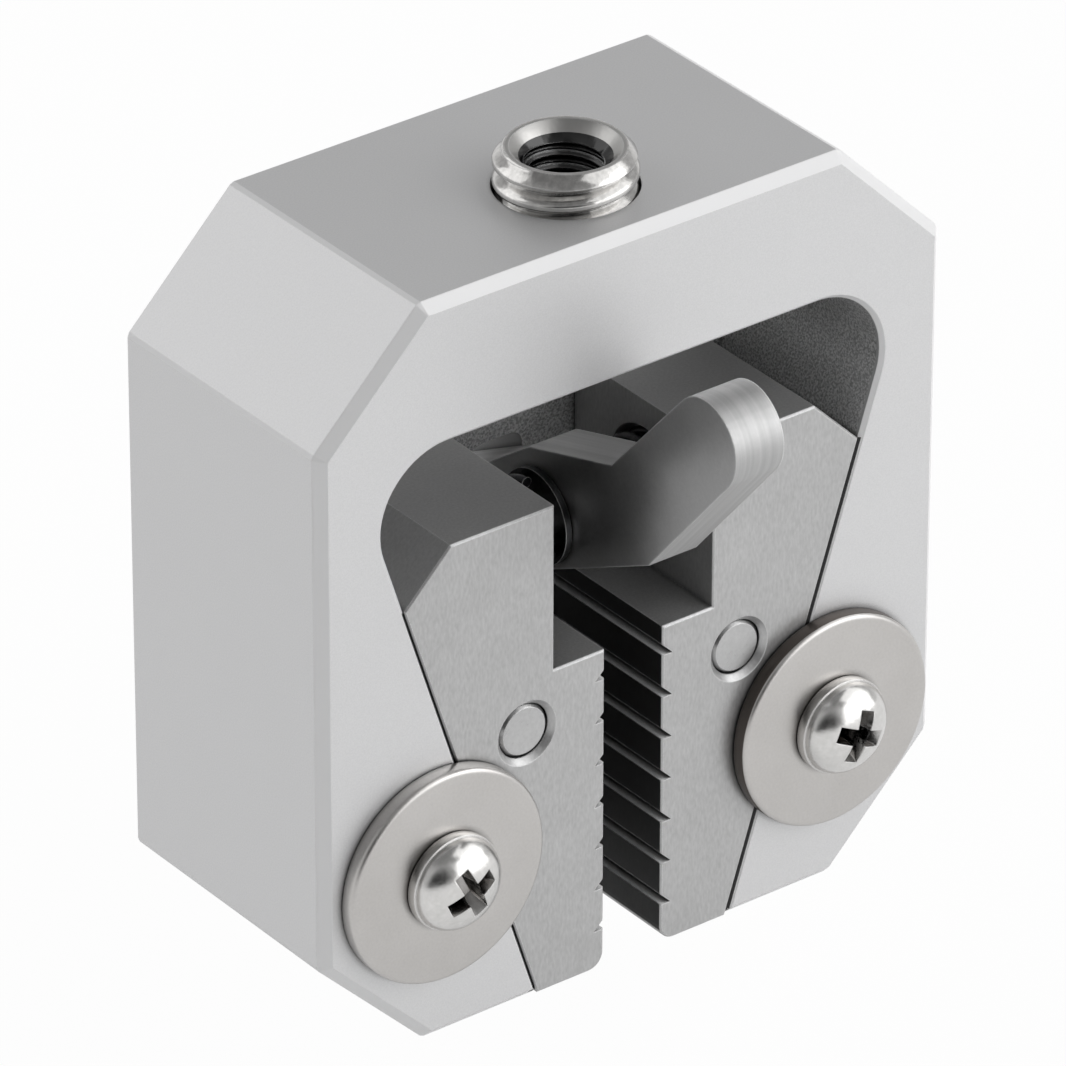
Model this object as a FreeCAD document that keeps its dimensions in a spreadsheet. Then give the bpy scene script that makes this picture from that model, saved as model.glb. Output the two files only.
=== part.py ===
import FreeCAD, Part
import math
import os
import Sketcher

# Self-tightening wedge grip for tensile tests, in millimetres.
# Every piece is drawn with X across the frame, Y back from its front face and Z up
# from its foot. The origin of the finished part is where the pull axis leaves the
# top face, so each piece is moved by the pull axis depth and the frame height.

SIZES = [
    # frame
    ("frame_width", 52.0), ("frame_height", 56.5), ("frame_depth", 22.0),
    ("corner_cut", 8.6), ("edge_chamfer", 0.75), ("corner_break", 0.2), ("rim_chamfer", 0.3),
    ("back_wall", 6.5), ("crossbar", 10.7), ("foot_wall", 17.95),
    ("wedge_angle", 18.0), ("pocket_radius", 5.5),
    # threaded nipple
    ("nipple_dia", 10.0), ("nipple_stand", 3.0), ("nipple_bore", 5.0),
    ("nipple_mouth", 7.0), ("nipple_chamfer", 0.75), ("nipple_seat", 8.4),
    ("nipple_end_gap", 0.2),
    # jaws
    ("head_room", 7.95), ("foot_gap", 0.2), ("jaw_clear", 0.1), ("wall_clear", 0.05),
    ("grip_half", 2.45), ("upper_half", 6.7), ("ledge_under_top", 12.6),
    ("jaw_corner", 3.8), ("mouth_radius", 1.2), ("jaw_chamfer", 0.12),
    ("tooth_depth", 0.82), ("first_tooth", 3.2), ("last_land", 2.25), ("tooth_count", 7),
    # dowels in the jaws
    ("dowel_dia", 4.0), ("dowel_length", 12.0), ("dowel_under_ledge", 4.1),
    ("dowel_off_middle", 0.314), ("dowel_sink", 0.3), ("dowel_chamfer", 0.25),
    ("dowel_fit", 0.05), ("dowel_mouth", 0.4),
    # cross pin, springs and thrust washers between the jaws
    ("pin_dia", 3.0), ("pin_under_top", 5.85), ("pin_fit", 0.05), ("pin_short", 5.25),
    ("pin_chamfer", 0.4), ("bore_short", 2.15), ("cup_dia", 7.4), ("cup_depth", 3.0),
    ("spring_dia", 6.6), ("wire_dia", 0.8), ("spring_turns", 4), ("spring_clear", 0.2),
    ("coil_sides", 6), ("coil_steps", 14),
    ("thrust_dia", 7.0), ("thrust_thick", 0.5), ("thrust_gap", 0.05),
    # lever
    ("lever_thick", 4.0), ("notch_along", 1.8), ("notch_flare", 0.35), ("handle_angle", 49.5),
    ("handle_length", 12.9), ("handle_width", 6.5), ("bend_y", -11.7), ("bend_z", 1.5),
    ("rump_y", 1.35), ("rump_z", 4.6), ("shoulder_y", 5.9), ("shoulder_z", 1.35),
    ("belly_y", -1.25), ("belly_z", -3.7),
    ("tail_length", 14.0), ("tail_half", 2.9), ("tail_start", 4.0),
    ("fork_start", 10.9), ("fork_clear", 0.3), ("lever_chamfer", 0.25),
    # fulcrum pin in the back wall
    ("fulcrum_dia", 2.5), ("fulcrum_skin", 3.0), ("fulcrum_drop", 5.0), ("fulcrum_reach", 8.0),
    # slot in the back wall for the tail of the lever
    ("slot_width", 4.8), ("slot_down", 5.0), ("slot_up", 6.6), ("slot_corner", 1.2),
    # washers and screws
    ("washer_dia", 16.0), ("washer_thick", 1.25), ("washer_hole", 4.3), ("washer_edge", 0.3),
    ("screw_in", 9.5), ("screw_z", 13.3), ("screw_dia", 4.0), ("screw_length", 12.0),
    ("head_dia", 8.0), ("head_height", 3.1), ("head_rim", 1.0), ("hole_extra", 1.5),
    ("recess_span", 4.4), ("recess_arm", 1.1), ("recess_depth", 1.9),
    ("left_recess_turn", 25.0), ("right_recess_turn", -23.0),
]

# Sizes that follow from the ones above, so that pieces which meet stay together.
DERIVED = [
    ("pocket_depth", "frame_depth - back_wall"),
    ("pocket_top", "frame_height - crossbar"),
    ("throat_half", "frame_width / 2 - foot_wall"),
    ("pull_axis_y", "pocket_depth / 2"),
    ("slope", "tan(wedge_angle * 1 deg)"),
    ("jaw_height", "pocket_top - head_room - foot_gap"),
    ("ledge_height", "foot_gap + jaw_height - ledge_under_top"),
    ("tooth_pitch", "(ledge_height - last_land - first_tooth) / (tooth_count - 1)"),
    ("dowel_z", "ledge_height - dowel_under_ledge"),
    ("dowel_x", "(grip_half + throat_half + dowel_z * slope) / 2 + dowel_off_middle"),
    ("pin_z", "foot_gap + jaw_height - pin_under_top"),
    ("pin_half", "throat_half + pin_z * slope - pin_short"),
    ("bore_end", "throat_half + pin_z * slope - bore_short - upper_half"),
    ("fulcrum_y", "frame_depth - fulcrum_skin"),
    ("fulcrum_z", "pin_z - fulcrum_drop"),
    ("slot_low", "fulcrum_z - slot_down"),
    ("slot_high", "fulcrum_z + slot_up"),
    ("screw_x", "frame_width / 2 - screw_in"),
]

doc = FreeCAD.newDocument("tensile_test_grip")
sheet = doc.addObject("Spreadsheet::Sheet", "Sizes")
ROWS = [(alias, "%g" % number) for alias, number in SIZES]
ROWS += [(alias, "=" + formula) for alias, formula in DERIVED]
for row, (alias, entry) in enumerate(ROWS, start=1):
    sheet.set("A%d" % row, alias)
    sheet.set("B%d" % row, entry)
    sheet.setAlias("B%d" % row, alias)
doc.recompute()

PLANES = {"XY": "XY_Plane", "XZ": "XZ_Plane", "YZ": "YZ_Plane"}
WHOLE_PART_PLACE = ("-Sizes.pull_axis_y", "-Sizes.frame_height")


def sized(text):
    """Turn size names in an expression into references to the sheet."""
    words = "".join(c if c.isalnum() or c == "_" else " " for c in text).split()
    aliases = sorted({w for w in words if w in ALIASES}, key=len, reverse=True)
    out = ""
    i = 0
    while i < len(text):
        hit = next((a for a in aliases if text.startswith(a, i)
                    and not (i and (text[i - 1].isalnum() or text[i - 1] in "_."))
                    and not (i + len(a) < len(text)
                             and (text[i + len(a)].isalnum() or text[i + len(a)] == "_"))), None)
        if hit:
            out += "Sizes." + hit
            i += len(hit)
        else:
            out += text[i]
            i += 1
    return out


ALIASES = {alias for alias, entry in ROWS}


def value(text):
    """The number that an expression in size names gives now."""
    return float(sheet.evalExpression(sized(text)))


def body(label):
    made = doc.addObject("PartDesign::Body", label)
    made.Label = label
    return made


def origin_plane(owner, plane):
    return next(f for f in owner.Origin.OriginFeatures if f.Role == PLANES[plane])


def sketch(owner, plane, name, offset=None, turn=None):
    """A sketch on one of the body's own planes, moved along the plane's normal."""
    made = owner.newObject("Sketcher::SketchObject", name)
    made.AttachmentSupport = (origin_plane(owner, plane), [""])
    made.MapMode = "FlatFace"
    if offset:
        made.setExpression(".AttachmentOffset.Base.z", sized(offset))
    if turn:
        made.setExpression(".AttachmentOffset.Rotation.Angle", sized(turn) + " * 1 deg")
    return made


def pin_point(made, geo, pos, x, y):
    """Hold one point of a sketch at two expressions from the sketch origin."""
    for kind, text in (("DistanceX", x), ("DistanceY", y)):
        number = value(text)
        index = made.addConstraint(Sketcher.Constraint(kind, -1, 1, geo, pos, number))
        made.setExpression("Constraints[%d]" % index, sized(text))


def outline(made, points):
    """A closed outline of straight lines through points given as expressions."""
    spots = [FreeCAD.Vector(value(x), value(y), 0) for x, y in points]
    count = len(spots)
    first = made.GeometryCount
    for i in range(count):
        made.addGeometry(Part.LineSegment(spots[i], spots[(i + 1) % count]), False)
    for i in range(count):
        made.addConstraint(Sketcher.Constraint(
            "Coincident", first + i, 2, first + (i + 1) % count, 1))
    for i, (x, y) in enumerate(points):
        pin_point(made, first + i, 1, x, y)


def circle(made, x, y, diameter):
    spot = FreeCAD.Vector(value(x), value(y), 0)
    geo = made.addGeometry(Part.Circle(spot, FreeCAD.Vector(0, 0, 1), value(diameter) / 2), False)
    pin_point(made, geo, 3, x, y)
    index = made.addConstraint(Sketcher.Constraint("Diameter", geo, value(diameter)))
    made.setExpression("Constraints[%d]" % index, sized(diameter))


def pad(owner, profile, name, length, backwards=False):
    made = owner.newObject("PartDesign::Pad", name)
    made.Profile = profile
    made.Reversed = backwards
    made.setExpression("Length", sized(length))
    doc.recompute()
    return made


def pocket(owner, profile, name, length, backwards=False, more=1e-6):
    """A pocket of a given depth, which has to take something off the body."""
    before = owner.Shape.Volume
    made = owner.newObject("PartDesign::Pocket", name)
    made.Profile = profile
    made.Reversed = backwards
    made.setExpression("Length", sized(length))
    doc.recompute()
    if before - owner.Shape.Volume < more:
        raise RuntimeError("%s takes nothing off %s" % (name, owner.Label))
    return made


def edges_where(owner, test):
    """Names of the body's edges that a test picks by their two ends."""
    names = []
    for number, edge in enumerate(owner.Shape.Edges, start=1):
        if len(edge.Vertexes) == 2 and test(edge.Vertexes[0].Point, edge.Vertexes[1].Point):
            names.append("Edge%d" % number)
    if not names:
        raise RuntimeError("no edge found on %s" % owner.Label)
    return names


def fillet(owner, name, edges, size):
    base = owner.Tip
    made = owner.newObject("PartDesign::Fillet", name)
    made.Base = (base, edges)
    made.setExpression("Radius", sized(size))
    doc.recompute()
    return made


def chamfer(owner, name, edges, size):
    base = owner.Tip
    made = owner.newObject("PartDesign::Chamfer", name)
    made.Base = (base, edges)
    made.setExpression("Size", sized(size))
    doc.recompute()
    return made


def near(a, b):
    return abs(a - b) < 1e-4


def place(made, x="0", y="0", z="0"):
    """Put a piece, drawn about a point of its own, at its place in the whole part."""
    made.setExpression(".Placement.Base.x", sized(x))
    made.setExpression(".Placement.Base.y", sized("%s - pull_axis_y" % y))
    made.setExpression(".Placement.Base.z", sized("%s - frame_height" % z))


def revolve(owner, profile, name, axis):
    made = owner.newObject("PartDesign::Revolution", name)
    made.Profile = profile
    made.ReferenceAxis = (profile, [axis])
    made.Angle = 360.0
    doc.recompute()
    return made


def wall_x(z, clear="0"):
    """Half width of the wedge pocket at a height, less a clearance."""
    return "(throat_half + (%s) * slope - (%s) / cos(wedge_angle * 1 deg))" % (z, clear)


def make_frame():
    frame = body("frame")
    face = sketch(frame, "XZ", "frame_outline")
    half, cut = "frame_width / 2", "corner_cut"
    outline(face, [
        ("-%s + %s" % (half, cut), "0"), ("%s - %s" % (half, cut), "0"),
        (half, cut), (half, "frame_height - " + cut),
        ("%s - %s" % (half, cut), "frame_height"), ("-%s + %s" % (half, cut), "frame_height"),
        ("-" + half, "frame_height - " + cut), ("-" + half, cut)])
    pad(frame, face, "frame_block", "frame_depth", backwards=True)
    if not near(frame.Shape.BoundBox.YMax, value("frame_depth")):
        raise RuntimeError("the frame goes the wrong way")
    chamfer(frame, "corner_breaks", edges_where(
        frame, lambda a, b: not near(a.y, b.y)), "corner_break")
    chamfer(frame, "frame_edges", edges_where(
        frame, lambda a, b: near(a.y, b.y)), "edge_chamfer")

    below = "0 - corner_cut"
    wedge = sketch(frame, "XZ", "pocket_outline")
    outline(wedge, [
        ("0 - " + wall_x(below), below), (wall_x(below), below),
        (wall_x("pocket_top"), "pocket_top"), ("0 - " + wall_x("pocket_top"), "pocket_top")])
    pocket(frame, wedge, "wedge_pocket", "pocket_depth")
    top = value("pocket_top")
    fillet(frame, "pocket_corners", edges_where(frame, lambda a, b: (
        near(a.z, top) and near(b.z, top) and near(a.x, b.x)
        and abs(a.x) > 1 and abs(a.y - b.y) > 1)), "pocket_radius")

    tail = sketch(frame, "XZ", "tail_slot_outline")
    side = "slot_width / 2"
    outline(tail, [
        ("0 - " + side, "slot_low"), (side, "slot_low"),
        (side, "slot_high"), ("0 - " + side, "slot_high")])
    pocket(frame, tail, "tail_slot", "frame_depth + edge_chamfer")
    half_slot, ends = value(side), (value("slot_low"), value("slot_high"))
    fillet(frame, "tail_slot_corners", edges_where(frame, lambda a, b: (
        near(a.x, b.x) and near(abs(a.x), half_slot) and near(a.z, b.z)
        and min(abs(a.z - ends[0]), abs(a.z - ends[1])) < 1e-4)), "slot_corner")

    crown = sketch(frame, "XY", "nipple_hole_outline", offset="frame_height")
    circle(crown, "0", "pull_axis_y", "nipple_dia")
    pocket(frame, crown, "nipple_hole", "nipple_seat")

    tapped = sketch(frame, "XZ", "screw_holes_outline")
    circle(tapped, "0 - screw_x", "screw_z", "screw_dia")
    circle(tapped, "screw_x", "screw_z", "screw_dia")
    pocket(frame, tapped, "screw_holes", "screw_length - washer_thick + hole_extra")

    cross = sketch(frame, "YZ", "fulcrum_hole_outline", offset="0 - fulcrum_reach")
    circle(cross, "fulcrum_y", "fulcrum_z", "fulcrum_dia")
    pocket(frame, cross, "fulcrum_hole", "fulcrum_reach + frame_width", backwards=True)

    def on_pocket_rim(a, b):
        if not (near(a.y, 0) and near(b.y, 0)):
            return False
        inside = [p for p in (a, b) if p.z < top + 0.01
                  and abs(p.x) < value(wall_x("0")) + p.z * math.tan(
                      math.radians(value("wedge_angle"))) + 0.01]
        return len(inside) == 2 and max(a.z, b.z) > value("screw_z") + value("screw_dia")

    chamfer(frame, "pocket_rim", edges_where(frame, on_pocket_rim), "rim_chamfer")
    place(frame)
    return frame


def make_nipple():
    nipple = body("threaded_nipple")
    half = sketch(nipple, "XZ", "nipple_section")
    low = "frame_height - nipple_seat + nipple_end_gap"
    high = "frame_height + nipple_stand"
    outline(half, [
        ("nipple_bore / 2", low), ("nipple_dia / 2 - nipple_chamfer", low),
        ("nipple_dia / 2", low + " + nipple_chamfer"),
        ("nipple_dia / 2", high + " - nipple_chamfer"),
        ("nipple_dia / 2 - nipple_chamfer", high), ("nipple_mouth / 2", high),
        ("nipple_bore / 2", high + " - (nipple_mouth - nipple_bore) / 2")])
    revolve(nipple, half, "nipple_turned", "V_Axis")
    place(nipple, y="pull_axis_y")
    return nipple


def make_jaw(side, sign):
    """One toothed wedge. sign is -1 on the left and 1 on the right."""
    jaw = body(side + "_jaw")
    s = "%d * " % sign
    low, high = "foot_gap", "foot_gap + jaw_height"
    low_wall = wall_x(low, "wall_clear")
    side_top = high + " - jaw_corner"
    side_wall = wall_x(side_top, "wall_clear")
    face = sketch(jaw, "XZ", side + "_jaw_outline")
    outline(face, [
        (s + "grip_half", low), (s + low_wall, low), (s + side_wall, side_top),
        (s + "(%s - jaw_corner)" % side_wall, high), (s + "upper_half", high),
        (s + "upper_half", "ledge_height"), (s + "grip_half", "ledge_height")])
    pad(jaw, face, side + "_jaw_block", "pocket_depth - 2 * jaw_clear", backwards=True)

    grip, foot = sign * value("grip_half"), value(low)
    fillet(jaw, side + "_jaw_mouth", edges_where(jaw, lambda a, b: (
        near(a.x, grip) and near(b.x, grip) and near(a.z, foot) and near(b.z, foot))),
        "mouth_radius")

    chamfer(jaw, side + "_jaw_edges", edges_where(jaw, lambda a, b: (
        near(a.y, 0) and near(b.y, 0))), "jaw_chamfer")

    notch = sketch(jaw, "XZ", side + "_tooth_outline")
    outline(notch, [
        (s + "(grip_half - tooth_depth / 2)", "first_tooth"),
        (s + "(grip_half + tooth_depth)", "first_tooth"),
        (s + "(grip_half - tooth_depth / 2)", "first_tooth + 1.5 * tooth_depth")])
    tooth = pocket(jaw, notch, side + "_tooth", "pocket_depth")
    row = jaw.newObject("PartDesign::LinearPattern", side + "_teeth")
    row.Originals = [tooth]
    row.Direction = (notch, ["V_Axis"])
    row.setExpression("Length", sized("tooth_pitch * (tooth_count - 1)"))
    row.setExpression("Occurrences", sized("tooth_count"))
    jaw.Tip = row
    doc.recompute()

    cup = sketch(jaw, "YZ", side + "_cup_outline", offset=s + "upper_half")
    circle(cup, "pull_axis_y - jaw_clear", "pin_z", "cup_dia")
    pocket(jaw, cup, side + "_cup", "cup_depth", backwards=sign > 0)
    bore = sketch(jaw, "YZ", side + "_bore_outline", offset=s + "upper_half")
    circle(bore, "pull_axis_y - jaw_clear", "pin_z", "pin_dia + 2 * pin_fit")
    pocket(jaw, bore, side + "_bore", "bore_end", backwards=sign > 0)

    seat = sketch(jaw, "XZ", side + "_dowel_hole_outline")
    circle(seat, s + "dowel_x", "dowel_z", "dowel_dia + 2 * dowel_fit")
    pocket(jaw, seat, side + "_dowel_hole", "dowel_sink + dowel_length")
    rim = [name for name in edges_round(jaw, sign * value("dowel_x"), value("dowel_z"),
                                        value("dowel_dia") / 2 + value("dowel_fit"))]
    chamfer(jaw, side + "_dowel_rim", rim, "dowel_mouth")
    place(jaw, y="jaw_clear")
    return jaw


def edges_round(owner, x, z, radius):
    """Names of the round edges in the front face about one axis along Y."""
    names = []
    for number, edge in enumerate(owner.Shape.Edges, start=1):
        curve = edge.Curve
        if (isinstance(curve, Part.Circle) and near(curve.Center.y, 0)
                and near(curve.Center.x, x) and near(curve.Center.z, z)
                and near(curve.Radius, radius)):
            names.append("Edge%d" % number)
    if not names:
        raise RuntimeError("no round edge found on %s" % owner.Label)
    return names


def make_rod(label, plane, length, diameter, end_chamfer):
    """A round pin with chamfered ends, turned about the Y axis or the X axis."""
    rod = body(label)
    half = sketch(rod, plane, label + "_section")
    radius = "(%s) / 2" % diameter
    outline(half, turned_section(length, radius, end_chamfer, along_x=plane == "XZ"))
    revolve(rod, half, label + "_turned", "H_Axis" if plane == "XZ" else "V_Axis")
    return rod


def turned_section(length, radius, end_chamfer, along_x):
    points = [
        ("0", "0"), ("0", "%s - %s" % (radius, end_chamfer)), (end_chamfer, radius),
        ("%s - %s" % (length, end_chamfer), radius),
        (length, "%s - %s" % (radius, end_chamfer)), (length, "0")]
    return points if along_x else [(r, a) for a, r in points]


def make_dowel(side, sign):
    dowel = make_rod(side + "_jaw_pin", "XY", "dowel_length", "dowel_dia", "dowel_chamfer")
    place(dowel, x="%d * dowel_x" % sign, y="jaw_clear + dowel_sink", z="dowel_z")
    return dowel


def make_cross_pin():
    pin = make_rod("lever_pin", "XZ", "2 * pin_half", "pin_dia", "pin_chamfer")
    place(pin, x="0 - pin_half", y="pull_axis_y", z="pin_z")
    return pin


def make_fulcrum_pin():
    pin = make_rod("fulcrum_pin", "XZ", "fulcrum_reach + frame_width / 2 - edge_chamfer",
                   "fulcrum_dia", "pin_chamfer")
    place(pin, x="0 - fulcrum_reach", y="fulcrum_y", z="fulcrum_z")
    return pin


def make_lever():
    """The flat lever, drawn in its own plane about the cross pin."""
    lever = body("lever")
    side = sketch(lever, "YZ", "lever_outline", offset="0 - lever_thick / 2")
    run = "(fulcrum_y - pull_axis_y)"
    drop = "(fulcrum_z - pin_z)"
    reach = "sqrt(%s ^ 2 + %s ^ 2)" % (run, drop)

    def along(distance, across):
        """A point at a distance from the cross pin toward the fulcrum, and across."""
        y = "((%s) * %s - (%s) * %s) / %s" % (distance, run, across, drop, reach)
        z = "((%s) * %s + (%s) * %s) / %s" % (distance, drop, across, run, reach)
        return y, z

    lean = "(handle_angle * 1 deg)"

    def grip(distance, across):
        """A point along the handle from its lower bend, and across toward the notch."""
        y = "bend_y - (%s) * cos(%s) + (%s) * sin(%s)" % (distance, lean, across, lean)
        z = "bend_z + (%s) * sin(%s) + (%s) * cos(%s)" % (distance, lean, across, lean)
        return y, z

    outline(side, [
        grip("notch_along", "handle_width + notch_flare"),
        grip("handle_length + handle_width / 2", "handle_width"),
        grip("handle_length + handle_width / 2", "0"),
        ("bend_y", "bend_z"), ("belly_y", "belly_z"),
        along("tail_start + tail_half", "0 - tail_half"),
        along("tail_length", "0 - tail_half"), along("tail_length", "tail_half"),
        ("shoulder_y", "shoulder_z"), ("rump_y", "rump_z")])
    pad(lever, side, "lever_plate", "lever_thick")

    tips = [(value(y), value(z)) for y, z in (
        grip("handle_length + handle_width / 2", "handle_width"),
        grip("handle_length + handle_width / 2", "0"))]
    fillet(lever, "handle_end", edges_where(lever, lambda a, b: any(
        near(a.y, y) and near(b.y, y) and near(a.z, z) and near(b.z, z)
        for y, z in tips)), "handle_width / 2 - 0.02")
    ends = [(value(y), value(z)) for y, z in (
        along("tail_length", "0 - tail_half"), along("tail_length", "tail_half"))]
    fillet(lever, "fork_tips", edges_where(lever, lambda a, b: any(
        near(a.y, y) and near(b.y, y) and near(a.z, z) and near(b.z, z)
        for y, z in ends)), "lever_chamfer * 3")

    fork = sketch(lever, "YZ", "fork_outline", offset="0 - lever_thick / 2 - lever_chamfer")
    gap = "(fulcrum_dia / 2 + fork_clear)"
    outline(fork, [
        along("fork_start - " + gap, "0 - " + gap), along("tail_length + tail_half", "0 - " + gap),
        along("tail_length + tail_half", gap), along("fork_start - " + gap, gap)])
    pocket(lever, fork, "fork", "lever_thick + 2 * lever_chamfer", backwards=True)
    roots = [(value(y), value(z)) for y, z in (
        along("fork_start - " + gap, "0 - " + gap), along("fork_start - " + gap, gap))]
    fillet(lever, "fork_root", edges_where(lever, lambda a, b: any(
        near(a.y, y) and near(b.y, y) and near(a.z, z) and near(b.z, z)
        for y, z in roots)), gap + " - 0.02")

    eye = sketch(lever, "YZ", "lever_eye_outline", offset="0 - lever_thick / 2 - lever_chamfer")
    circle(eye, "0", "0", "pin_dia + 2 * pin_fit")
    pocket(lever, eye, "lever_eye", "lever_thick + 2 * lever_chamfer", backwards=True)
    place(lever, y="pull_axis_y", z="pin_z")
    return lever


def make_thrust_washer(side, sign):
    """The thin washer between the lever's cheek and its spring."""
    ring = body(side + "_thrust_washer")
    half = sketch(ring, "XZ", side + "_thrust_section")
    inner, outer = "pin_dia / 2 + pin_fit", "thrust_dia / 2"
    near_x, far_x = "thrust_gap", "thrust_gap + thrust_thick"
    s = "%d * " % sign
    outline(half, [
        (s + near_x, inner), (s + near_x, outer), (s + "(%s)" % far_x, outer),
        (s + "(%s)" % far_x, inner)])
    revolve(ring, half, side + "_thrust_turned", "H_Axis")
    place(ring, x=s + "lever_thick / 2", y="pull_axis_y", z="pin_z")
    return ring


def make_spring(side, sign):
    """A helical compression spring from the thrust washer to the cup in the jaw.

    Its wire has flat sides, and a straight run from each station to the next."""
    wire = value("wire_dia")
    start = value("lever_thick / 2 + thrust_gap + thrust_thick + spring_clear") + wire / 2
    end = value("upper_half + cup_depth - spring_clear") - wire / 2
    radius = (value("spring_dia") - wire) / 2
    sides, steps = int(value("coil_sides")), int(value("coil_steps * spring_turns"))
    stations = []
    for step in range(steps + 1):
        turn = 2 * math.pi * step / value("coil_steps")
        middle = start + (end - start) * step / steps
        corners = []
        for corner in range(sides):
            angle = 2 * math.pi * corner / sides
            out = radius + wire / 2 * math.cos(angle)
            corners.append(FreeCAD.Vector(
                sign * (middle + wire / 2 * math.sin(angle)),
                out * math.sin(turn), out * math.cos(turn)))
        stations.append(Part.makePolygon(corners + corners[:1]))
    made = doc.addObject("Part::Feature", side + "_spring")
    made.Label = side + "_spring"
    made.Shape = Part.makeLoft(stations, True, True)
    made.Placement.Base = FreeCAD.Vector(0, 0, value("pin_z - frame_height"))
    return made


def make_washer(side, sign):
    washer = body(side + "_washer")
    half = sketch(washer, "XY", side + "_washer_section")
    rim, face = "washer_dia / 2", "0 - washer_thick"
    outline(half, [
        ("washer_hole / 2", face), (rim + " - washer_edge", face),
        (rim + " - 0.3 * washer_edge", face + " + 0.3 * washer_edge"),
        (rim, face + " + washer_edge"), (rim, "0 - washer_edge / 2"),
        (rim + " - washer_edge / 2", "0"), ("washer_hole / 2", "0")])
    revolve(washer, half, side + "_washer_turned", "V_Axis")
    place(washer, x="%d * screw_x" % sign, z="screw_z")
    return washer


def make_screw(side, sign):
    """Pan head screw with a cross recess, drawn about the front of its washer."""
    screw = body(side + "_screw")
    half = sketch(screw, "XY", side + "_screw_section")
    tip = "screw_length"
    outline(half, [
        ("0", "0 - head_height"), ("head_dia / 2 - 1.9 * head_rim", "0 - head_height"),
        ("head_dia / 2 - 0.55 * head_rim", "0 - head_height + 0.75 * head_rim"),
        ("head_dia / 2", "0 - head_height + 2 * head_rim"), ("head_dia / 2", "0"),
        ("screw_dia / 2", "0"), ("screw_dia / 2", tip + " - screw_dia / 8"),
        ("screw_dia * 3 / 8", tip), ("0", tip)])
    revolve(screw, half, side + "_screw_turned", "V_Axis")
    recess = sketch(screw, "XZ", side + "_recess_outline", offset="head_height",
                    turn=side + "_recess_turn")
    arm, span = "(recess_arm / 2)", "(recess_span / 2)"
    outline(recess, [
        (arm, arm), (arm, span), ("0 - " + arm, span), ("0 - " + arm, arm),
        ("0 - " + span, arm), ("0 - " + span, "0 - " + arm), ("0 - " + arm, "0 - " + arm),
        ("0 - " + arm, "0 - " + span), (arm, "0 - " + span), (arm, "0 - " + arm),
        (span, "0 - " + arm), (span, arm)])
    pocket(screw, recess, side + "_recess", "recess_depth")
    place(screw, x="%d * screw_x" % sign, y="0 - washer_thick", z="screw_z")
    return screw


pieces = [make_frame(), make_nipple()]
for side_name, side_sign in (("left", -1), ("right", 1)):
    pieces.append(make_jaw(side_name, side_sign))
    pieces.append(make_dowel(side_name, side_sign))
    pieces.append(make_thrust_washer(side_name, side_sign))
    pieces.append(make_spring(side_name, side_sign))
    pieces.append(make_washer(side_name, side_sign))
    pieces.append(make_screw(side_name, side_sign))
pieces += [make_lever(), make_cross_pin(), make_fulcrum_pin()]
doc.recompute()

for made in doc.Objects:
    if any(word in made.State for word in ("Invalid", "Error")):
        raise RuntimeError("%s failed: %s" % (made.Name, made.State))

os.makedirs("parts", exist_ok=True)
for piece in pieces:
    shape = piece.Shape
    if shape.isNull() or not shape.isValid() or not shape.Solids:
        raise RuntimeError("%s has no sound shape" % piece.Label)
    shape.exportStep("parts/%s.step" % piece.Label)
    box = shape.BoundBox
    print("%-22s solids %d volume %9.2f  X %7.2f %7.2f  Y %7.2f %7.2f  Z %7.2f %7.2f" % (
        piece.Label, len(shape.Solids), shape.Volume,
        box.XMin, box.XMax, box.YMin, box.YMax, box.ZMin, box.ZMax))
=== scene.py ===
import math

import bpy
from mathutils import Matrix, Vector


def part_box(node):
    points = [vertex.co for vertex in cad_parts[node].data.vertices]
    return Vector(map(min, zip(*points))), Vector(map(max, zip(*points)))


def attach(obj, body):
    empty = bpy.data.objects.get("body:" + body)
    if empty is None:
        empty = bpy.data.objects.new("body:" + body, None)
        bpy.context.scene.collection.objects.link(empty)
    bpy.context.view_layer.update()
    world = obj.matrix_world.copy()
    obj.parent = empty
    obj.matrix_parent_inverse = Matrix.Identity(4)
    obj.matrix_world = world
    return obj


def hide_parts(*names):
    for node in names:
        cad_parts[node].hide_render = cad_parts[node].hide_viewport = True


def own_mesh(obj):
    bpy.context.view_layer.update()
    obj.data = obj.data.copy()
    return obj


MM = 0.001


# The CAD pieces, and places on them that finishes and new pieces go by

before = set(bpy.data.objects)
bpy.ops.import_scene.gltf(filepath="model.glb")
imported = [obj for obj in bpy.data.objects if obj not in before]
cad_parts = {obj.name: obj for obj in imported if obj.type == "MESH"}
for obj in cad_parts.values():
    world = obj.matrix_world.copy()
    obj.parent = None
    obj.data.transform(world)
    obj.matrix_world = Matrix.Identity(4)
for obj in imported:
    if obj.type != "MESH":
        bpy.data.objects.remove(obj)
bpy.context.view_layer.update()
bpy.ops.object.select_all(action="DESELECT")

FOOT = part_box("frame")[0].z
PIN = (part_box("lever_pin")[0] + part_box("lever_pin")[1]) / 2
THRUST_FACE = 2.55 * MM  # from the middle out to where a spring rests on its thrust washer

# The pocket's walls lean by LEAN, touch the jaws up to SHOULDER, and lie WALL from the
# origin, measured square to them.
LEAN = math.radians(18)
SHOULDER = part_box("right_jaw")[1].z - 3.8 * MM
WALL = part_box("right_jaw")[1].x * math.cos(LEAN) - SHOULDER * math.sin(LEAN)

# The lands of the teeth end just short of LAND, and their roots short of ROOT.
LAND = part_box("right_jaw")[0].x + 0.06 * MM
ROOT = LAND + 0.9 * MM
LEDGE = FOOT + 24.5 * MM

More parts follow.
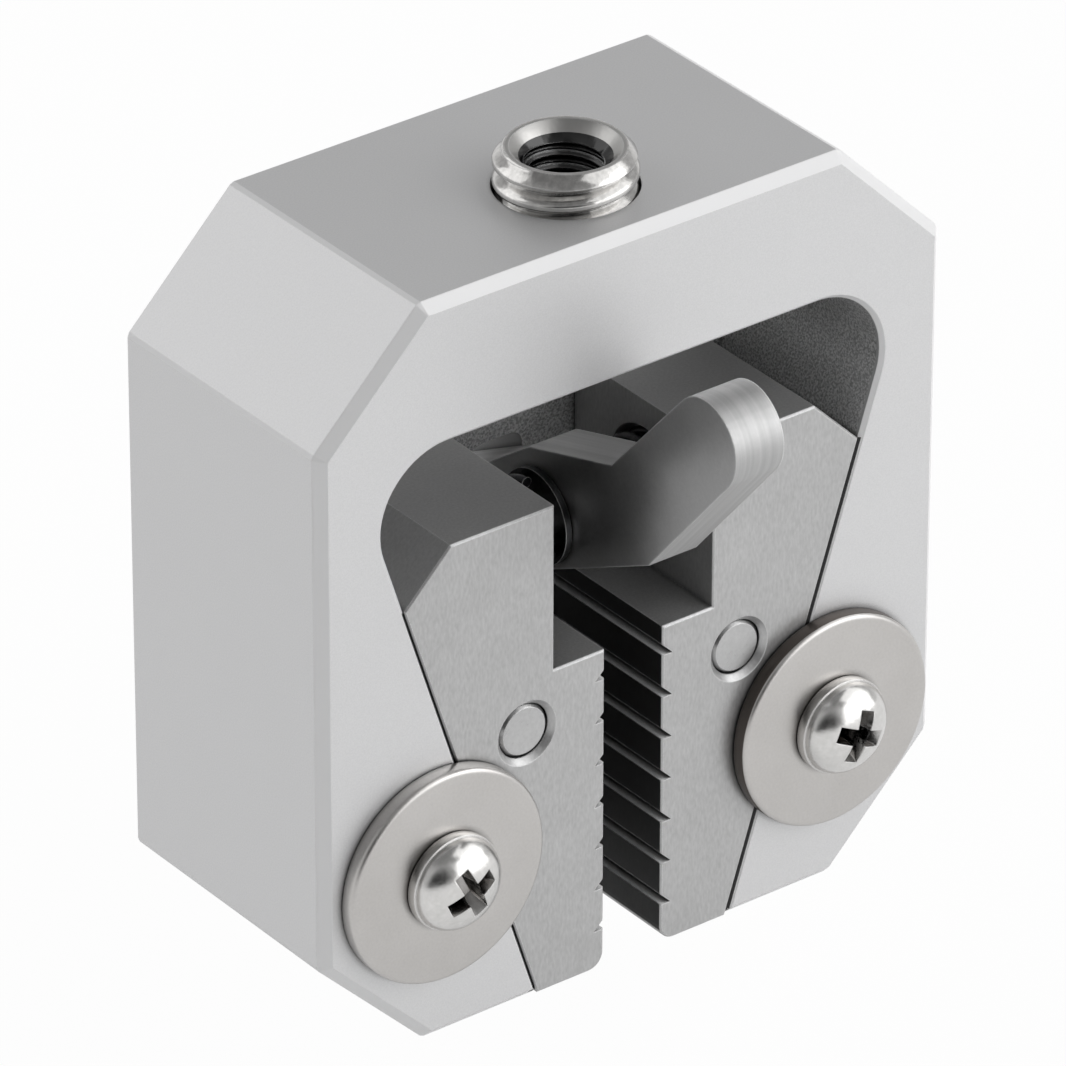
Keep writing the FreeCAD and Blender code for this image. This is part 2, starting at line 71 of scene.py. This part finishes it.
# Limits of the pocket behind its rims, and of the slot in its back wall.
POCKET_HEIGHTS = (-50 * MM, -9 * MM)
POCKET = {"X": (-22 * MM, 22 * MM), "Y": (-7.2 * MM, 7.9 * MM), "Z": POCKET_HEIGHTS}
SLOT = {"X": (-2.6 * MM, 2.6 * MM), "Y": (7.9 * MM, 14.2 * MM), "Z": POCKET_HEIGHTS}
FRONT_RIM = (-7.63 * MM, -7.2 * MM)

# Radii of the nipple's bore and of its mouth, in millimetres.
BORE_RADIUS = 3.15
MOUTH_RADIUS = 4.02


# Shader maths

class Wire:
    """An output socket of a material. Arithmetic on it adds Math nodes."""

    def __init__(self, tree, socket=None):
        self.tree = tree
        self.socket = socket

    def node(self, kind, out=0, settings=None, sockets=None):
        """Add a node of a kind: its settings first, then the values or links of its sockets."""
        made = self.tree.nodes.new("ShaderNode" + kind)
        for name, setting in (settings or {}).items():
            setattr(made, name, setting)
        for name, given in (sockets or {}).items():
            if isinstance(given, Wire):
                self.tree.links.new(given.socket, made.inputs[name])
            else:
                made.inputs[name].default_value = given
        return Wire(self.tree, made.outputs[out])

    def maths(self, operation, first, second=0.0):
        return self.node("Math", settings={"operation": operation}, sockets={0: first, 1: second})

    def __add__(self, other):
        return self.maths("ADD", self, other)

    def __radd__(self, other):
        return self.maths("ADD", other, self)

    def __sub__(self, other):
        return self.maths("SUBTRACT", self, other)

    def __rsub__(self, other):
        return self.maths("SUBTRACT", other, self)

    def __mul__(self, other):
        return self.maths("MULTIPLY", self, other)

    def __rmul__(self, other):
        return self.maths("MULTIPLY", other, self)

    def __abs__(self):
        return self.maths("ABSOLUTE", self)

    def clipped(self):
        """The value held between 0 and 1."""
        return self.node("Clamp", sockets={"Value": self})

    def between(self, low, high):
        """1 where the value lies between two others, and 0 elsewhere."""
        return self.maths("GREATER_THAN", self, low) * self.maths("LESS_THAN", self, high)

    def ramp(self, start, end, kind="LINEAR"):
        """0 up to a start, 1 past an end, and a slope from one to the other."""
        return self.node("MapRange", settings={"interpolation_type": kind},
                         sockets={"Value": self, "From Min": start, "From Max": end})


def new_material(name):
    """An empty material: the material itself, a Wire to build with, and its output node."""
    material = bpy.data.materials.new(name)
    material.use_nodes = True
    tree = material.node_tree
    tree.nodes.clear()
    return material, Wire(tree), tree.nodes.new("ShaderNodeOutputMaterial")


def grey(level):
    return (level, level, level, 1)


def mixed(build, factor, first, second):
    """Two colours mixed by a factor."""
    return build.node("Mix", out=2, settings={"data_type": "RGBA"},
                      sockets={0: factor, 6: first, 7: second})


def grain(build, scale, stretch=(1, 1, 1), detail=2.0):
    """Noise on the object's own coordinates, stretched along an axis by a low scale there."""
    place = build.node("Mapping", sockets={
        "Vector": build.node("TexCoord", out="Object"),
        "Scale": tuple(scale * share for share in stretch)})
    return build.node("TexNoise", sockets={
        "Vector": place, "Scale": 1.0, "Detail": detail, "Roughness": 0.55})


def dot(build, first, second):
    """The dot product of two directions."""
    return build.node("VectorMath", out="Value", settings={"operation": "DOT_PRODUCT"},
                      sockets={0: first, 1: second})


def part_of(build, direction, axis):
    """One component of a direction or a place."""
    return build.node("SeparateXYZ", out=axis, sockets={0: direction})


def place_on(build, axis):
    """Where a point lies along one of the object's own axes."""
    return part_of(build, build.node("TexCoord", out="Object"), axis)


def facing(build, axis):
    """How far a face looks along one of the object's own axes, from -1 to 1."""
    return part_of(build, build.node("TexCoord", out="Normal"), axis)


def inside(build, limits):
    """1 between the limits along each axis that is named, and 0 elsewhere."""
    found = 1.0
    for axis, (low, high) in limits.items():
        found = found * place_on(build, axis).between(low, high)
    return found


# Finishes

def metal(name, dark, pale, rough, metallic=1.0, stretch=(1, 1, 1), fine=5000.0, broad=150.0,
          broad_share=0.5, bump=0.25, depth=0.01 * MM, edge=0.10 * MM, reach=0.45 * MM,
          oil_and_shade=(0.03, 0.03, 0.03), paint=None):
    """A metal finish: a fine grain and a broad cloudiness in its colour, roughness and bump.

    Sharp edges are broken and given a pale painted highlight, and gaps narrower than reach are
    darkened as oily grime and painted shade.
    paint, if given, changes the colour, roughness and metal share where a part is finished
    another way, or where light or shade is painted on it.
    """
    material, build, output = new_material(name)
    fine_grain = grain(build, fine, stretch)
    clouds = grain(build, broad, detail=3.0)
    contrast = 2.2
    blend = fine_grain * (1 - broad_share) + clouds * broad_share
    blend = ((blend - 0.5) * contrast + 0.5).clipped()
    shade = mixed(build, blend, (*dark, 1), (*pale, 1))
    rough_spread = 0.10
    roughness = (blend - 0.5) * rough_spread + rough
    share = build.maths("ADD", metallic)  # made a Wire, for paint to work on
    if paint:
        shade, roughness, share = paint(build, shade, roughness, share)

    rounded = build.node("Bevel", settings={"samples": 3}, sockets={"Radius": edge})
    turned = 1 - dot(build, rounded, build.node("NewGeometry", out="Normal"))
    openness = build.node("AmbientOcclusion", out="AO", settings={"samples": 2},
                          sockets={"Distance": reach})
    outward = build.node("AmbientOcclusion", out="AO", settings={
        "samples": 2, "only_local": True}, sockets={"Distance": 4 * edge})
    # Painted highlight: sharp convex edges open to the light are made pale, less metallic and
    # rougher.
    painted_edge_highlight = turned.ramp(0, 0.2) * outward.ramp(0.75, 1) * openness.ramp(1 / 3, 2 / 3)
    # Painted shade, with oily grime: gaps narrower than reach darken towards the crevice colour.
    shade = mixed(build, openness.ramp(0.147, 0.735), (*oil_and_shade, 1), shade)
    # The painted edge highlight goes over everything else.
    shade = mixed(build, painted_edge_highlight, shade, grey(0.93))
    normal = build.node("Bump", sockets={
        "Strength": bump, "Distance": depth, "Height": fine_grain, "Normal": rounded})
    shader = build.node("BsdfPrincipled", sockets={
        "Base Color": shade, "Metallic": share - painted_edge_highlight * 0.4,
        "Roughness": roughness + painted_edge_highlight * 0.15, "Normal": normal})
    build.tree.links.new(shader.socket, output.inputs["Surface"])
    return material


def frame_cuts(build, shade, roughness, share):
    """The pocket is speckled and rims are pale; painted shade darkens its slot and the gaps
    beside the jaws.
    """
    along, up = abs(facing(build, "Y")), facing(build, "Z")
    rims = along.between(0.3, 0.95)
    corner_breaks = along.between(-0.1, 0.1) * (up.between(0.34, 0.60) + up.between(0.80, 0.97))
    cut = (rims + corner_breaks).clipped()
    outward = (abs(place_on(build, "X")) * math.cos(LEAN)
               - place_on(build, "Z") * math.sin(LEAN))
    # Painted shade in the narrow gap between each jaw and the pocket wall, at the front.
    gap_shade = (outward.between(WALL - 0.2 * MM, WALL + 0.5 * MM)
            * inside(build, {"Y": FRONT_RIM, "Z": (FOOT, SHOULDER)}))
    blasting = grain(build, 6500.0).ramp(0.375, 0.625)
    speckle = mixed(build, blasting, grey(0.48), grey(0.92))
    shade = mixed(build, inside(build, POCKET), shade, speckle)
    # Painted shade: the slot in the back wall is darkened.
    shade = mixed(build, inside(build, SLOT), shade, grey(0.16))
    shade = mixed(build, cut, shade, (0.84, 0.84, 0.845, 1))
    # Painted shade in the gaps beside the jaws.
    shade = mixed(build, gap_shade, shade, grey(0.03))
    return shade, roughness - cut * 0.05, share - cut * 0.6


def painted_shade_rim(build, shade, roughness, share):
    """Painted shade darkens the side of the right washer against its faces."""
    side = facing(build, "Y").between(-0.35, 0.35)
    return mixed(build, side, shade, (0.13, 0.115, 0.105, 1)), roughness + side * 0.1, share


def jaw_teeth_painted_light(build, shade, roughness, share):
    """Painted shade makes the toothed lands nearly black, and painted light makes the up-facing
    faces of the teeth pale.
    """
    shaded_land = abs(facing(build, "X")).between(0.9, 1.1) * inside(build, {"X": (-LAND, LAND)})
    lit_tooth = (facing(build, "Z").between(0.6, 1.1)
             * inside(build, {"X": (-ROOT, ROOT), "Z": (FOOT, LEDGE)}))
    # Painted shade on the toothed lands, and painted light on the up-facing faces of the teeth.
    shade = mixed(build, shaded_land, shade, grey(0.035))
    shade = mixed(build, lit_tooth, shade, grey(0.92))
    return shade, roughness + shaded_land * 0.15 + lit_tooth * 0.15, share - lit_tooth * 0.8


def lever_rims(build, shade, roughness, share):
    """The narrow faces of the lever are belt ground, with lines that follow its outline."""
    rim = facing(build, "X").between(-0.5, 0.5)
    lines = grain(build, 1500.0, stretch=(1, 0.02, 0.02), detail=3.0).ramp(0.292, 0.708)
    ground = mixed(build, lines, grey(0.42), grey(0.56))
    return mixed(build, rim, shade, ground), roughness + rim * 0.2, share


def nipple_mouth_and_bore_shade(build, shade, roughness, share):
    """The mouth is turned dull, and painted shade darkens the bore below it."""
    across, deep = place_on(build, "X"), place_on(build, "Y")
    from_axis = (across * across + deep * deep) * (1 / MM ** 2)
    mouth = from_axis.between(BORE_RADIUS ** 2, MOUTH_RADIUS ** 2)
    # Painted shade: the bore is darkened nearly black.
    shade = mixed(build, from_axis.between(0.0, BORE_RADIUS ** 2), shade, grey(0.05))
    shade = mixed(build, mouth, shade, (0.44, 0.435, 0.425, 1))
    return shade, roughness + mouth * 0.22, share


alloy = metal("blasted_alloy", (0.66, 0.66, 0.665), (0.74, 0.74, 0.745), 0.50, metallic=0.75,
              fine=9000.0, broad=120.0, broad_share=0.12, bump=0.35, depth=0.012 * MM,
              paint=frame_cuts)
jaw_steel = metal("ground_jaw_steel", (0.43, 0.43, 0.43), (0.56, 0.56, 0.56), 0.36,
                  metallic=0.74, stretch=(1, 1, 0.35), fine=5200.0, broad=260.0,
                  broad_share=0.25, bump=0.3, depth=0.006 * MM, edge=0.14 * MM, paint=jaw_teeth_painted_light)
pin_steel = metal("turned_pin_steel", (0.46, 0.46, 0.46), (0.58, 0.58, 0.58), 0.30,
                  fine=4000.0, broad=300.0, reach=0.8 * MM)
spring_steel = metal("drawn_spring_wire", (0.04, 0.04, 0.045), (0.09, 0.09, 0.09), 0.24,
                     fine=2500.0, broad=600.0)
washer_steel = metal("stamped_washer_steel", (0.52, 0.505, 0.49), (0.61, 0.595, 0.58), 0.32,
                     broad=200.0)
# The right washer's side is darkened with painted shade.
shade_rimmed_steel = metal("washer_steel_with_painted_shade_rim", (0.52, 0.505, 0.49), (0.61, 0.595, 0.58), 0.32,
                     broad=200.0, paint=painted_shade_rim)
screw_steel = metal("tumbled_screw_steel", (0.62, 0.615, 0.60), (0.76, 0.75, 0.74), 0.22,
                    fine=2600.0, broad=700.0, bump=0.7, reach=1.2 * MM, oil_and_shade=(0.10, 0.08, 0.07))
nipple_steel = metal("plated_nipple_steel", (0.44, 0.435, 0.425), (0.66, 0.65, 0.635), 0.15,
                     fine=2600.0, broad=600.0, broad_share=0.3, bump=0.5, paint=nipple_mouth_and_bore_shade)
lever_steel = metal("satin_lever_steel", (0.56, 0.56, 0.56), (0.66, 0.66, 0.66), 0.34,
                    fine=4200.0, broad=250.0, edge=0.16 * MM, paint=lever_rims)


def dress(node, material):
    """Give every slot of a CAD node's object one material."""
    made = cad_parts[node]
    for slot in made.material_slots:
        slot.material = material
    for face in made.data.polygons:
        face.material_index = 0


dress("frame", alloy)
for side in ("left", "right"):
    dress(side + "_jaw", jaw_steel)
    dress(side + "_jaw_pin", pin_steel)
    dress(side + "_thrust_washer", spring_steel)
dress("lever", lever_steel)
dress("lever_pin", pin_steel)
dress("fulcrum_pin", pin_steel)


# Modelling helpers

def start(name):
    """Name the primitive that has just been added."""
    made = bpy.context.object
    made.name = name
    made.data.name = name
    return made


def settle():
    """Apply the new primitive's place, turn and scale to its mesh."""
    bpy.ops.object.transform_apply(location=True, rotation=True, scale=True)


def only(made):
    """Leave everything unselected but one object, which becomes the active one."""
    bpy.ops.object.select_all(action="DESELECT")
    made.select_set(True)
    bpy.context.view_layer.objects.active = made


def edit(made, kind, action="SELECT"):
    """Go into edit mode, by points, edges or faces, with all of them selected or none."""
    only(made)
    bpy.ops.object.mode_set(mode="EDIT")
    bpy.ops.mesh.select_mode(type=kind)
    bpy.ops.mesh.select_all(action=action)


def done():
    bpy.ops.object.mode_set(mode="OBJECT")


def pick(made, kind, test):
    """Go into edit mode with the points, or the edges between points, that pass a test."""
    edit(made, kind, "DESELECT")
    done()
    mesh = made.data
    if kind == "EDGE":
        for edge in mesh.edges:
            edge.select = all(test(mesh.vertices[end].co) for end in edge.vertices)
    else:
        for point in mesh.vertices:
            point.select = test(point.co)
    bpy.ops.object.mode_set(mode="EDIT")


def cut_flat(level, side):
    """In edit mode, cut off what lies above a height (1) or below it (-1) and close the cut."""
    bpy.ops.mesh.select_all(action="SELECT")
    bpy.ops.mesh.bisect(plane_co=(0, 0, level), plane_no=(0, 0, side), use_fill=True,
                        clear_outer=True, threshold=0.0001 * MM)


def swing(made, degrees, axis):
    """Turn a whole mesh about one of its object's own axes."""
    edit(made, "FACE")
    bpy.ops.transform.rotate(value=math.radians(degrees), orient_axis=axis,
                             center_override=(0, 0, 0))
    done()


def apply_modifier(made, kind, **settings):
    only(made)
    added = made.modifiers.new(kind.title(), kind)
    for name, setting in settings.items():
        setattr(added, name, setting)
    bpy.ops.object.modifier_apply(modifier=added.name)


def combine(made, tool, how):
    """Cut a piece with a tool, keep what they share, or join them; the tool goes."""
    apply_modifier(made, "BOOLEAN", object=tool, operation=how, solver="EXACT")
    bpy.data.objects.remove(tool)


def break_edges(made, width, sharper_than):
    """Round the edges that are sharper than an angle in degrees."""
    apply_modifier(made, "BEVEL", width=width, segments=2,
                   angle_limit=math.radians(sharper_than))


def finish_piece(made, material, body, node):
    """Apply its place to its mesh, smooth it, give it its material, hang it on what it rides on,
    and hide the CAD node that it stands for.
    """
    only(made)
    settle()
    bpy.ops.object.shade_smooth_by_angle(angle=math.radians(40))
    made.data.materials.clear()
    made.data.materials.append(material)
    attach(made, body)
    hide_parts(node)


# The ridge of a thread is raised in steps. Each reaches so many pitches to either side of
# the crest, and adds so much of the depth.
RIDGE_STEPS = ((0.42, 0.20), (0.34, 0.25), (0.25, 0.25), (0.17, 0.20), (0.09, 0.10))
RIDGE_CUTS = 11


def thread_rod(name, root, depth, pitch, low, high, sides):
    """A threaded rod on the Z axis between two heights: one ridge wound round and cut flat."""
    first = low - 1.6 * pitch
    bpy.ops.mesh.primitive_plane_add(size=pitch, location=(root + pitch / 2, 0, first),
                                     rotation=(math.pi / 2, 0, 0))
    rod = start(name)
    settle()
    pick(rod, "VERT", lambda spot: spot.x > root + pitch / 4)
    bpy.ops.mesh.delete(type="VERT")
    bpy.ops.mesh.select_all(action="SELECT")
    bpy.ops.mesh.subdivide(number_cuts=RIDGE_CUTS)
    done()
    for reach, push in RIDGE_STEPS:
        pick(rod, "VERT", lambda spot: abs(spot.z - first) < reach * pitch)
        bpy.ops.transform.translate(value=(depth * push, 0, 0))
        done()
    apply_modifier(rod, "SCREW", axis="Z", screw_offset=pitch, steps=sides, render_steps=sides,
                   iterations=math.ceil((high - low) / pitch) + 3)
    edit(rod, "FACE")
    bpy.ops.mesh.remove_doubles(threshold=0.004 * MM)
    cut_flat(low, -1)
    cut_flat(high, 1)
    bpy.ops.mesh.select_all(action="SELECT")
    bpy.ops.mesh.normals_make_consistent(inside=False)
    done()
    return rod


def bar(name, radius, low, high, sides, low_bevel=0.0, high_bevel=0.0, rounds=1):
    """A round bar on the Z axis between two heights, with its ends bevelled."""
    bpy.ops.mesh.primitive_cylinder_add(vertices=sides, radius=radius, depth=high - low,
                                        location=(0, 0, (low + high) / 2))
    made = start(name)
    settle()
    for level, size in ((low, low_bevel), (high, high_bevel)):
        if size:
            pick(made, "EDGE", lambda spot: abs(spot.z - level) < 0.001 * MM)
            bpy.ops.mesh.bevel(offset=size, segments=rounds, affect="EDGES")
            done()
    return made


# Modelled pieces

def make_nipple():
    """The nipple on the pull axis: two turns of thread stand out, and a thread runs inside."""
    low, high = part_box("threaded_nipple")
    top = high.z - 0.12 * MM
    nipple = thread_rod("nipple_body", root=4.18 * MM, depth=0.72 * MM, pitch=1.5 * MM,
                        low=low.z, high=top, sides=96)
    swing(nipple, -35, "Z")
    blank = bar("nipple_blank", radius=4.9 * MM, low=low.z, high=top, sides=96,
                low_bevel=0.75 * MM, high_bevel=0.76 * MM)
    combine(nipple, blank, "INTERSECT")
    bore = thread_rod("bore_thread", root=2.5 * MM, depth=0.45 * MM, pitch=1.0 * MM,
                      low=low.z - 1 * MM, high=high.z + 1 * MM, sides=64)
    combine(nipple, bore, "DIFFERENCE")
    bpy.ops.mesh.primitive_cone_add(vertices=96, radius1=2.6 * MM, radius2=3.84 * MM,
                                    depth=1.35 * MM, location=(0, 0, top - 0.625 * MM))
    combine(nipple, start("mouth_cutter"), "DIFFERENCE")
    break_edges(nipple, 0.09 * MM, sharper_than=38)
    finish_piece(nipple, nipple_steel, "frame_body", "threaded_nipple")


def make_spring(side, sign):
    """A wire coil round the cross pin."""
    wire, coil_radius, turns = 0.4 * MM, 2.88 * MM, 4
    low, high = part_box(side + "_spring")
    bpy.ops.mesh.primitive_circle_add(vertices=12, radius=wire, fill_type="NOTHING",
                                      location=(low.x + wire, 0, PIN.z),
                                      rotation=(math.pi / 2, 0, 0))
    coil = start(side + "_coil")
    bpy.ops.object.transform_apply(location=False, rotation=True, scale=True)
    edit(coil, "VERT")
    bpy.ops.transform.translate(value=(0, 0, coil_radius))
    done()
    apply_modifier(coil, "SCREW", axis="X", screw_offset=(high.x - low.x - 2 * wire) / turns,
                   iterations=turns, steps=40, render_steps=40)
    edit(coil, "EDGE")
    bpy.ops.mesh.fill_holes(sides=0)
    bpy.ops.mesh.select_all(action="SELECT")
    bpy.ops.mesh.normals_make_consistent(inside=False)
    done()
    finish_piece(coil, spring_steel, "cross_pin", side + "_spring")
    side + "_jaw_slide"
    sign * THRUST_FACE
    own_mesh(coil)


def make_washer(side, steel):
    """A punched body washer: its front edge is rolled over, its back edge is left small."""
    low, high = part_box(side + "_washer")
    thick = high.y - low.y
    washer = bar(side + "_body_washer", radius=(high.x - low.x) / 2, low=0, high=thick,
                 sides=96, low_bevel=0.12 * MM, high_bevel=0.38 * MM, rounds=4)
    hole = bar("hole_cutter", radius=2.15 * MM, low=-1 * MM, high=thick + 1 * MM, sides=48)
    combine(washer, hole, "DIFFERENCE")
    swing(washer, -90, "X")
    washer.location = ((low.x + high.x) / 2, high.y, (low.z + high.z) / 2)
    finish_piece(washer, steel, "frame_body", side + "_washer")


def make_screw(side, turn):
    """A pan head screw with a tapered cross recess, facing the front of the frame."""
    height, rim_height = 2.85 * MM, 0.85 * MM
    dome_base = 0.8 * MM
    low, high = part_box(side + "_screw")
    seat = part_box(side + "_washer")[0].y
    head = bar("screw_head", radius=3.55 * MM, low=0, high=rim_height, sides=72,
               low_bevel=0.2 * MM, high_bevel=0.1 * MM, rounds=2)
    bpy.ops.mesh.primitive_uv_sphere_add(segments=72, ring_count=36, radius=1,
                                         location=(0, 0, dome_base),
                                         scale=(3.4 * MM, 3.4 * MM, height - dome_base))
    dome = start("dome")
    settle()
    edit(dome, "FACE")
    cut_flat(0.5 * MM, -1)
    done()
    combine(head, dome, "UNION")
    for arm in range(2):
        bpy.ops.mesh.primitive_cube_add(size=1, location=(0, 0, height - 0.7 * MM),
                                        scale=(4.7 * MM, 1.3 * MM, 2.3 * MM))
        wedge = start("recess_cutter")
        settle()
        pick(wedge, "VERT", lambda spot: spot.z < height - 1 * MM)
        bpy.ops.transform.resize(value=(0.5, 0.75, 1), center_override=(0, 0, 0))
        done()
        swing(wedge, 90 * arm, "Z")
        combine(head, wedge, "DIFFERENCE")
    shank = thread_rod("screw_thread", root=1.62 * MM, depth=0.36 * MM, pitch=0.7 * MM,
                       low=seat - high.y, high=0.6 * MM, sides=36)
    combine(head, shank, "UNION")
    head.name = side + "_pan_screw"
    break_edges(head, 0.08 * MM, sharper_than=50)
    swing(head, -turn, "Z")
    swing(head, -90, "X")
    head.location = ((low.x + high.x) / 2, seat, (low.z + high.z) / 2)
    finish_piece(head, screw_steel, "frame_body", side + "_screw")


make_nipple()
for side, sign, turn, steel in (("left", -1, 25, washer_steel), ("right", 1, -23, shade_rimmed_steel)):
    make_spring(side, sign)
    make_washer(side, steel)
    make_screw(side, turn)


# Floor, light and camera

JAW_TRAVEL = 7.5 * MM
FLOOR_WHITE = 0.97
FLOOR_GLOW = 0.76
SHADE_REACH = 0.025
MIDDLE = Vector((0, 0.003, -0.028))
DARK_SIDE = Vector((-0.62, -0.78, 0.05)).normalized()


def pale_floor():
    """A wide white floor, as white in the metal's reflections, with the object's shadow.

    It lies just below the lowest point that the jaws slide to, and gives the metal a little
    more light from the front right than from the back left.
    """
    bpy.ops.mesh.primitive_plane_add(size=8.0, location=(0, 0, FOOT - JAW_TRAVEL))
    floor = start("floor")
    material, build, output = new_material("pale_floor")
    camera_ray, glossy_ray, clear_ray = [build.node("LightPath", out=ray) for ray in (
        "Is Camera Ray", "Is Glossy Ray", "Is Transmission Ray")]
    open_sky = build.node("AmbientOcclusion", out="AO", settings={"samples": 3},
                          sockets={"Distance": SHADE_REACH})
    matt = build.node("BsdfDiffuse", sockets={"Color": grey(0.80)})
    white = build.node("Emission", sockets={"Color": grey(1), "Strength": 1.0})
    lean = build.node("MapRange", sockets={
        "Value": place_on(build, "X") - place_on(build, "Y"),
        "From Min": -0.12, "From Max": 0.12, "To Min": 0.90, "To Max": 1.08})
    bright = (camera_ray * FLOOR_WHITE
              + (glossy_ray + clear_ray) * open_sky * lean * FLOOR_GLOW)
    shader = build.node("MixShader", sockets={0: bright, 1: matt, 2: white})
    build.tree.links.new(shader.socket, output.inputs["Surface"])
    floor.data.materials.append(material)


def soft_box(name, direction, distance, size, radiance):
    """A square soft light in a direction from the object, facing it, as bright as it looks."""
    towards = Vector(direction).normalized()
    bpy.ops.object.light_add(type="AREA", location=MIDDLE + towards * distance)
    made = start(name)
    made.data.shape = "SQUARE"
    made.data.size = size
    made.data.energy = radiance * math.pi * size * size
    made.rotation_euler = towards.to_track_quat("Z", "Y").to_euler()


def dim_room():
    """A pale backdrop low behind the object, a dim room above it and behind the camera."""
    world = bpy.data.worlds.new("studio")
    bpy.context.scene.world = world
    world.use_nodes = True
    tree = world.node_tree
    tree.nodes.clear()
    build = Wire(tree)
    direction = build.node("TexCoord", out="Generated")
    dark_side = dot(build, direction, tuple(DARK_SIDE)).ramp(0.70, 0.95, "SMOOTHSTEP")
    height = part_of(build, direction, "Z")
    behind = part_of(build, direction, "Y").ramp(-0.2, 0.5, "SMOOTHSTEP")
    backdrop = behind * height.ramp(0.32, 0.05, "SMOOTHSTEP")
    shade = mixed(build, backdrop, grey(0.54), grey(0.95))
    shade = mixed(build, height.ramp(0.55, 0.85, "SMOOTHSTEP"), shade, grey(0.24))
    shade = mixed(build, dark_side, shade, grey(0.04))
    light = build.node("Background", sockets={"Color": shade, "Strength": 1.0})
    output = tree.nodes.new("ShaderNodeOutputWorld")
    tree.links.new(light.socket, output.inputs["Surface"])


pale_floor()
soft_box("right_box", (0.58, -0.42, 0.69), distance=1.3, size=1.3, radiance=1.02)
soft_box("back_box", (-0.55, 0.70, 0.46), distance=1.3, size=1.0, radiance=0.93)
soft_box("front_card", (0.60, -0.79, 0.12), distance=1.1, size=1.4, radiance=1.45)
dim_room()

# The camera was fitted to the corners of the frame in the photo.
bpy.ops.object.camera_add(location=(-0.37022, -0.48240, 0.32973))
camera = bpy.context.object
camera.rotation_euler = [math.radians(angle) for angle in (59.6257, -0.0634, -37.2666)]
camera.data.sensor_width = 36.0
camera.data.lens = 354.44
camera.data.clip_start = 0.01
bpy.context.scene.camera = camera
bpy.context.scene.view_settings.view_transform = "Standard"
